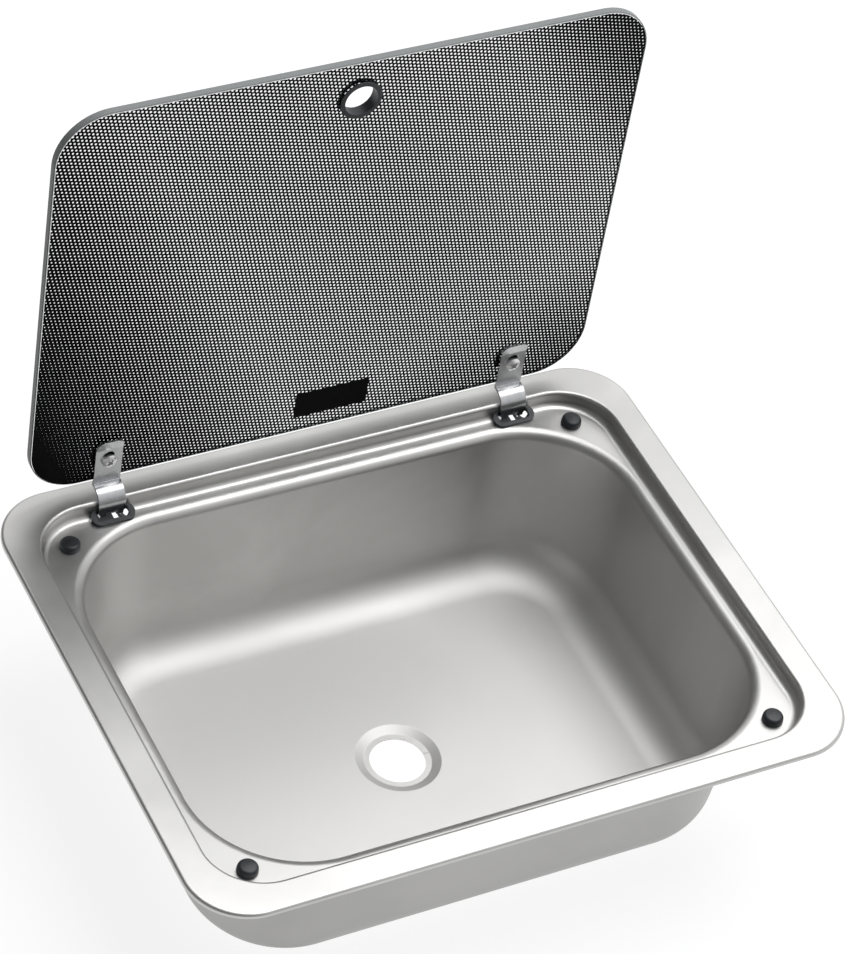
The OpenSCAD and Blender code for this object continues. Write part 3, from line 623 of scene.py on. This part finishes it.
# %% Rings of the basin
BEND_STEPS, LIP_STEPS, WALL_STEPS, FOOT_STEPS, WASTE_STEPS = 8, 12, 4, 24, 5


def arc(u, v, r, start, end, steps):
    """Points (u, v) on an arc, with angles in degrees."""
    return [(u + r * math.cos(math.radians(start + (end - start) * i / steps)),
        v + r * math.sin(math.radians(start + (end - start) * i / steps)))
        for i in range(steps + 1)]


def offsets(outline, points):
    """Rings at the offsets (u, v) of an outline, with v counted up from the rim."""
    return [(outline["hx"] + u, outline["hy"] + u, outline["r"] + u, RIM_Z + v, 0)
        for u, v in points]


def circles(points):
    """Rings that are circles round the waste hole."""
    return [(r, r, r, RIM_Z + v, WASTE_Y) for r, v in points]


lean = math.radians(DRAFT)
wall_top = (BOWL_LIP * (1 - math.cos(lean)), -RECESS_DEPTH - BOWL_LIP * (1 - math.sin(lean)))
wall_end_v = -BOWL_DEPTH + BOWL_FOOT * (1 - math.sin(lean))
wall_end_u = wall_top[0] - (wall_top[1] - wall_end_v) * math.tan(lean)
floor_u = wall_end_u - BOWL_FOOT * math.cos(lean)
slope = math.degrees(math.atan2(WASTE_DROP, WASTE_SEAT_R - WASTE_FLAT_R))
ease = WASTE_BEND * math.tan(math.radians(slope / 2))
wall = [(wall_top[0] + (wall_end_u - wall_top[0]) * i / WALL_STEPS,
    wall_top[1] + (wall_end_v - wall_top[1]) * i / WALL_STEPS) for i in range(1, WALL_STEPS)]
basin_rings = (
    offsets(RIM, [(0, -LIP_H)] + arc(-LIP_BEND, -LIP_BEND, LIP_BEND, 0, 90, BEND_STEPS))
    + offsets(RECESS, arc(RECESS_TOP, -RECESS_TOP, RECESS_TOP, 90, 180, BEND_STEPS)
        + arc(-RECESS_FOOT, RECESS_FOOT - RECESS_DEPTH, RECESS_FOOT, 0, -90, BEND_STEPS))
    + offsets(BOWL, arc(BOWL_LIP, -RECESS_DEPTH - BOWL_LIP, BOWL_LIP, 90, 180 - DRAFT, LIP_STEPS)
        + wall
        + arc(floor_u, BOWL_FOOT - BOWL_DEPTH, BOWL_FOOT, -DRAFT, -90, FOOT_STEPS))
    + circles(arc(WASTE_SEAT_R + ease, -BOWL_DEPTH - WASTE_BEND, WASTE_BEND, 90, 90 + slope,
            WASTE_STEPS)
        + arc(WASTE_FLAT_R - ease, WASTE_BEND - WASTE_DROP - BOWL_DEPTH, WASTE_BEND, slope - 90,
            -90, WASTE_STEPS)
        + [(WASTE_R, -BOWL_DEPTH - WASTE_DROP)]))
basin = run_tree("basin", rings_mesh("basin_rings", basin_rings), rings_tree,
    corner_steps=32, material=satin_steel)
if sum(p.normal.z * p.area for p in basin.data.polygons) < 0:
    basin.data.flip_normals()
print("rings:", len(basin_rings), "faces:", len(basin.data.polygons))

# %% [markdown]
# ## Thickness, slots and pad holes
# Solidify gives the sheet its 0.8 mm to the underside. The two hinge slots and the four small
# holes of the pads are cut with Boolean modifiers, from closed cutters, as a punch does it.

# %% Thickness and holes
GROMMET_Y, GROMMET_L, GROMMET_B, PLAY = 136.0, 27, 10.8, 0.1
SLOT_HALF, SLOT_FROM, SLOT_R = 11.0, 137.4, 2.8
PAD_X, PAD_Y, PAD_HOLE_R = 164.8, 127.2, 2.55
CUT_BELOW, CUT_ABOVE, PAD_CUT_ABOVE = 3, 4.9, 1
# The underside is what looks down, and what looks outwards lower than this under the ledge.
UNDER_TILT, UNDER_FROM = -0.2, 1
cut_from, cut_to = LEDGE_Z - SHEET - CUT_BELOW, LEDGE_Z + CUT_ABOVE


def cutter(name, outlines):
    """A closed cutter of several prisms, for a Boolean modifier."""
    bm = bmesh.new()
    for outline, bottom, top in outlines:
        prism(bm, outline, bottom, top)
    return object_from_bmesh(name, bm)


slot_to = GROMMET_Y + GROMMET_B + PLAY
slots = [(rounded_rectangle(SLOT_HALF, (slot_to - SLOT_FROM) / 2, SLOT_R, 8,
    (s * HINGE_X, (slot_to + SLOT_FROM) / 2)), cut_from, cut_to) for _, s in SIDES]
pad_holes = [(circle(PAD_HOLE_R, 6, (sx * PAD_X, sy * PAD_Y)), cut_from, LEDGE_Z + PAD_CUT_ABOVE)
    for sx in (-1, 1) for sy in (-1, 1)]
# The wall above the ledge is cut behind the foot of the recess only. The foot's bend has to
# begin behind the middle of the grommet, or this outline folds over itself.
end_r = GROMMET_B / 2 + PLAY
end_x = (GROMMET_L - GROMMET_B) / 2
grommet_mid = GROMMET_Y + GROMMET_B / 2
front_y = RECESS["hy"] - RECESS_FOOT
reach_x = end_x + math.sqrt(end_r ** 2 - (front_y - grommet_mid) ** 2)
wall_cuts = []
for _, s in SIDES:
    outline = rounded_rectangle(end_x + end_r, end_r, end_r, 16, (s * HINGE_X, grommet_mid))
    wall_cuts.append(([p for p in outline if p[1] > front_y]
        + [(s * HINGE_X - reach_x, front_y), (s * HINGE_X + reach_x, front_y)], cut_from, cut_to))

thick = basin.modifiers.new("thickness", "SOLIDIFY")
thick.thickness = SHEET * MM
thick.offset = -1
thick.use_even_offset = True
cutters = [cutter("slot_cutter", slots + pad_holes), cutter("wall_cutter", wall_cuts)]
for tool in cutters:
    hole = basin.modifiers.new("hole", "BOOLEAN")
    hole.operation = "DIFFERENCE"
    hole.object = tool
bake(basin)
for tool in cutters:
    bpy.data.objects.remove(tool)
smooth(basin, angle=28)
finish(basin, "sink", satin_steel, "satin_steel", "sink_basin")
# The outside and the underside take the darker copy, which is painted shade.
basin.data.materials.append(shaded_under_steel)
for face in basin.data.polygons:
    outwards = face.normal.x * face.center.x + face.normal.y * face.center.y > 0
    hangs = outwards and face.center.z < (LEDGE_Z - UNDER_FROM) * MM
    under = face.normal.z < UNDER_TILT or hangs
    face.material_index = 1 if under else 0
print("underside faces:", sum(f.material_index for f in basin.data.polygons))

# %% [markdown]
# ## The print on the lid
# The print lies on the face of the pane that looks into the room when the lid stands open. It
# stops just short of the edges, so that a thin clear line is left round it. A filled curve
# makes the shape with its three holes, and a hair of thickness makes it a closed sheet.

# %% Lid print
PRINT_INSET, PRINT_T, PRINT_GAP = 0.9, 0.03, 0.02
BUSH_CLEAR = 0.3


def filled(name, outlines, thickness):
    """A flat sheet in X and Y from closed outlines, the inner ones being holes."""
    curve = bpy.data.curves.new(name, "CURVE")
    curve.dimensions = "2D"
    curve.fill_mode = "BOTH"
    curve.extrude = thickness * MM / 2
    for outline in outlines:
        spline = curve.splines.new("POLY")
        spline.points.add(len(outline) - 1)
        for point, (x, y) in zip(spline.points, outline):
            point.co = (x * MM, y * MM, 0, 1)
        spline.use_cyclic_u = True
    holder = object_from(name + "_curve", curve)
    mesh = shown_mesh(holder)
    bpy.data.objects.remove(holder)
    return object_from(name, mesh)


mid_z = LID_Z + LID_L / 2
sheet_outlines = [
    rounded_rectangle(LID_HX - PRINT_INSET, LID_L / 2 - PRINT_INSET, GLASS_R - PRINT_INSET, 24),
    circle(FINGER_R, 16, (0, FINGER_Z - mid_z))]
for _, s in SIDES:
    sheet_outlines.append(circle(BUSH_R + BUSH_CLEAR, 8, (s * HINGE_X, SCREW_Z - mid_z)))
lid_print = filled("lid_print", sheet_outlines, PRINT_T)
lid_print.data.transform(Matrix.Translation((0, (LID_Y - PRINT_GAP - PRINT_T / 2) * MM,
    mid_z * MM)) @ Matrix.Rotation(math.radians(90), 4, "X"))
finish(lid_print, "lid", ink, "dark_glass")

# %% [markdown]
# ## Metal and plastic parts from the CAD
# Straps, brackets, pins, clips, screws, caps, grommets, gaskets, bushes, the finger ring and the
# pane keep their CAD shape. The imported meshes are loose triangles, so each is copied, its
# doubles are merged and flat groups of triangles become one face. A fine bevel then breaks the
# edges of all but ring and pane, because an edge with no radius never catches light.

# %% Softened copies of the CAD nodes
DOUBLES, FLAT_ANGLE, BEVEL_ANGLE = 0.002, 0.6, 32


def softened(node_name, piece_name, width, body, finish_material, slot_name, segments=2):
    """A copy of a CAD node with its edges bevelled by a width in millimetres."""
    bm = bmesh.new()
    bm.from_mesh(nodes[node_name].data)
    bmesh.ops.remove_doubles(bm, verts=bm.verts, dist=DOUBLES * MM)
    bmesh.ops.dissolve_limit(bm, angle_limit=math.radians(FLAT_ANGLE), verts=bm.verts,
        edges=bm.edges)
    made = object_from_bmesh(piece_name, bm)
    if width:
        bevel = made.modifiers.new("bevel", "BEVEL")
        bevel.width = width * MM
        bevel.segments = segments
        bevel.limit_method = "ANGLE"
        bevel.angle_limit = math.radians(BEVEL_ANGLE)
        bake(made)
    smooth(made, angle=35)
    return finish(made, body, finish_material, slot_name, node_name)


# How the names of node and piece start, the width of the bevel, body, finish and slot, and for
# the grommets also the segments of the bevel.
PAIRS = (
    ("hinge_strap_", "strap_", 0.18, "lid", bright_steel, "bright_steel"),
    ("strap_screw_", "screw_", 0.12, "lid", screw_zinc, "bright_steel"),
    ("glass_cap_", "cap_", 0.1, "lid", bright_steel, "bright_steel"),
    ("hinge_bracket_", "bracket_", 0.15, "sink", bright_steel, "bright_steel"),
    ("hinge_pin_", "pin_", 0.15, "sink", bright_steel, "bright_steel"),
    ("pin_clip_", "clip_", 0.1, "sink", bright_steel, "bright_steel"),
    ("slot_grommet_", "grommet_", 0.35, "sink", black_plastic, "black_plastic", 3),
    ("strap_gasket_", "gasket_", 0.05, "lid", black_rubber, "black_rubber"),
    ("glass_bush_", "bush_", 0.1, "lid", black_plastic, "black_plastic"))
for side, _ in SIDES:
    for node_start, piece_start, *rest in PAIRS:
        softened(node_start + side, piece_start + side, *rest)
softened("finger_ring", "finger_hole_ring", 0, "lid", black_rubber, "black_rubber")

# %% [markdown]
# ## The end of the slot guard
# Under each slot a thin curved guard keeps dirt off the pin. The CAD has its front part. The
# camera looks down through the slot on its end, with a drain slot at each side, so that end is
# made here: a grid laid on an arc round the pivot, with the cells of the drain slots left out,
# and Solidify.

# %% Guard ends
PIVOT_Y, PIVOT_Z = 153.7, 112.4
GUARD_R, GUARD_T, GUARD_HALF = 15.15, 0.88, 10.85
GUARD_ANGLES = (254, 257, 260, 265, 270, 275, 280, 283, 286)
DRAIN_IN, DRAIN_OUT, DRAIN_ANGLES = 6.0, 9.2, (260, 280)
guard_xs = (-GUARD_HALF, -DRAIN_OUT, -DRAIN_IN, DRAIN_IN, DRAIN_OUT, GUARD_HALF)
for side, s in SIDES:
    bm = bmesh.new()
    rows = [[bm.verts.new(((s * HINGE_X + x) * MM,
        (PIVOT_Y + GUARD_R * math.cos(math.radians(a))) * MM,
        (PIVOT_Z + GUARD_R * math.sin(math.radians(a))) * MM)) for x in guard_xs]
        for a in GUARD_ANGLES]
    for i in range(len(rows) - 1):
        for j in range(len(guard_xs) - 1):
            drain = j in (1, 3) and DRAIN_ANGLES[0] <= GUARD_ANGLES[i] < DRAIN_ANGLES[1]
            if not drain:
                bm.faces.new((rows[i][j], rows[i][j + 1], rows[i + 1][j + 1], rows[i + 1][j]))
    guard = object_from_bmesh("guard_end_" + side, bm)
    plate = guard.modifiers.new("plate", "SOLIDIFY")
    plate.thickness = GUARD_T * MM
    plate.offset = -1
    bake(guard)
    smooth(guard, angle=30)
    finish(guard, "sink", black_plastic, "black_plastic")

# %% [markdown]
# ## The rubber pads
# Four equal pads carry the closed lid. One profile is turned by the rings tree, since a turned
# part is only a string of circles, and a second small tree puts it on four points.

# %% Geometry Nodes: one piece on every point
points_tree, p_in, p_out = new_tree("piece_on_points", "GeometryNodeTree",
    [("Points", "NodeSocketGeometry", None), ("Piece", "NodeSocketObject", None),
     ("Material", "NodeSocketMaterial", None)],
    [("Pieces", "NodeSocketGeometry")])
info = add(points_tree, "GeometryNodeObjectInfo", {"Object": p_in["Piece"]})
put = add(points_tree, "GeometryNodeInstanceOnPoints", {"Points": p_in["Points"],
    "Instance": info.outputs["Geometry"]}).outputs[0]
end_tree(points_tree, put, p_in["Material"], p_out["Pieces"])
print("piece_on_points:", len(points_tree.nodes), "nodes")

# %% Pads
# The profile is (radius, height over the ledge): bulb and stem, the band, then the domed cap.
PAD_R, PAD_TOP, PAD_EDGE = 6.2, 5.0, 2.4
BULB_R, STEM_R, CAP_R = 3.4, 2.5, PAD_R - 0.12
pad_profile = ([(0, -3.4), (1.67, -3.4), (BULB_R, -1.67), (BULB_R, -0.85), (STEM_R, -0.8),
    (STEM_R, -0.02), (PAD_R - 0.3, 0), (PAD_R, 0.3), (PAD_R, 1.15), (CAP_R, 1.25), (CAP_R, 1.4)]
    + arc(CAP_R - PAD_EDGE, PAD_TOP - PAD_EDGE - 0.25, PAD_EDGE, 0, 80, BEND_STEPS)
    + [(2.0, PAD_TOP - 0.03), (0, PAD_TOP)])
pad_one = run_tree("pad_one", rings_mesh("pad_rings",
    [(r, r, r, LEDGE_Z + z, 0) for r, z in pad_profile]), rings_tree, corner_steps=10,
    material=black_rubber)
spots = bpy.data.meshes.new("pad_spots")
spots.from_pydata([(sx * PAD_X * MM, sy * PAD_Y * MM, 0) for sx in (-1, 1) for sy in (-1, 1)],
    [], [])
pads = run_tree("pads", spots, points_tree, piece=pad_one, material=black_rubber)
bpy.data.objects.remove(pad_one)
smooth(pads, angle=40)
finish(pads, "sink", black_rubber, "black_rubber", "pad_front_left", "pad_front_right",
    "pad_rear_left", "pad_rear_right")

# %% [markdown]
# ## The glass pane
# The edge of a tempered pane is ground, so it scatters light and looks pale and matt, while the
# faces are polished. The piece has two materials for that: every face round the outside that
# doesn't look to the front or the back gets the ground one, and the holes stay clear.

# %% The glass pane, with its ground edge
EDGE_BAND, FACING = 1.5, 0.9

pane = softened("glass_lid", "pane", 0, "lid", clear_glass, "dark_glass")
pane.data.materials.append(ground_edge)
rim_x, rim_z = (LID_HX - EDGE_BAND) * MM, (LID_L / 2 - EDGE_BAND) * MM
for face in pane.data.polygons:
    from_x, from_z = abs(face.center.x), abs(face.center.z - mid_z * MM)
    corner = (from_x - (LID_HX - GLASS_R) * MM, from_z - (LID_L / 2 - GLASS_R) * MM)
    rounded = min(corner) > 0 and math.hypot(*corner) > (GLASS_R - EDGE_BAND) * MM
    outer = from_x > rim_x or from_z > rim_z or rounded
    face.material_index = 1 if abs(face.normal.y) < FACING and outer else 0
print("pane:", len(pane.data.polygons), "faces, ground:",
    sum(f.material_index for f in pane.data.polygons))

# %% [markdown]
# ## Floor, light and background
# A plain white studio: the floor and the world are white for the camera and for what is seen
# through the glass, and the floor still takes a soft shadow. In reflections the floor is white
# as well, but the world is darker towards the side of the camera, as a room is, so that steel
# that mirrors it keeps its dark side. One large soft lamp overhead and the world light the sink.
# A picture of a studio wrapped round the scene would do it too, but it would be one more file.

# %% Floor
FLOOR_HALF, FLOOR_Z, FLOOR_GLOW = 4.0, -0.0005, 0.85


def seen_rays(tree):
    """The kinds of ray, and a mask that is one for what is seen, mirrored or behind glass."""
    path = add(tree, "ShaderNodeLightPath").outputs
    return path, maths(tree, "MAXIMUM", path["Is Camera Ray"],
        maths(tree, "MAXIMUM", path["Is Glossy Ray"], path["Is Transmission Ray"]))


floor_mesh = bpy.data.meshes.new("floor")
floor_mesh.from_pydata([(x * FLOOR_HALF, y * FLOOR_HALF, FLOOR_Z) for x, y in
    ((-1, -1), (1, -1), (1, 1), (-1, 1))], [], [(0, 1, 2, 3)])
floor = object_from("floor", floor_mesh)
floor_paint, tree, shader, place = material("floor_paint", base_color=(0.30, 0.30, 0.305, 1),
    roughness=0.9, emission_color=(1, 1, 1, 1))
_, seen = seen_rays(tree)
wire(tree, shader, {"Emission Strength": maths(tree, "MULTIPLY", seen, FLOOR_GLOW)})
floor_mesh.materials.append(floor_paint)
print("floor:", 2 * FLOOR_HALF, "m wide, glow", FLOOR_GLOW)

# %% World
WORLD_LIGHT, BRIGHT_SIDE = 0.25, (0.90, 0.12, 0.40)
DARKEST, BRIGHTEST, DARK_TO, BRIGHT_FROM = 0.19, 0.93, 0.05, 0.5

world = bpy.data.worlds.new("studio")
bpy.context.scene.world = world
world.use_nodes = True
tree = world.node_tree
path, seen = seen_rays(tree)
towards = add(tree, "ShaderNodeTexCoord").outputs["Generated"]
facing = vector_maths(tree, "DOT_PRODUCT", towards, BRIGHT_SIDE)
shade = add(tree, "ShaderNodeMapRange", {"Value": facing, "From Min": DARK_TO,
    "From Max": BRIGHT_FROM, "To Min": DARKEST, "To Max": BRIGHTEST},
    interpolation_type="SMOOTHSTEP").outputs["Result"]
direct = maths(tree, "MAXIMUM", path["Is Camera Ray"], path["Is Transmission Ray"])
wire(tree, tree.nodes["Background"], {"Color": maths(tree, "MAXIMUM", shade, direct),
    "Strength": maths(tree, "MULTIPLY_ADD", seen, 1 - WORLD_LIGHT, WORLD_LIGHT)})
print("world: light", WORLD_LIGHT, "shade", DARKEST, "to", BRIGHTEST)

# %% Lamp
LAMP_AT, LAMP_AIM = (0.56, 0.10, 1.83), (0, 0, 0.05)
LAMP_SIZE, LAMP_POWER = 1.6, 22.6

lamp_data = bpy.data.lights.new("top_lamp", "AREA")
lamp_data.size = LAMP_SIZE
lamp_data.energy = LAMP_POWER
lamp = bpy.data.objects.new("top_lamp", lamp_data)
lamp.location = LAMP_AT
lamp.rotation_euler = (Vector(LAMP_AIM) - Vector(LAMP_AT)).to_track_quat("-Z", "Y").to_euler()
bpy.context.scene.collection.objects.link(lamp)
bpy.context.scene.view_settings.view_transform = "Standard"
print("lamp:", LAMP_POWER, "W,", LAMP_SIZE, "m square")
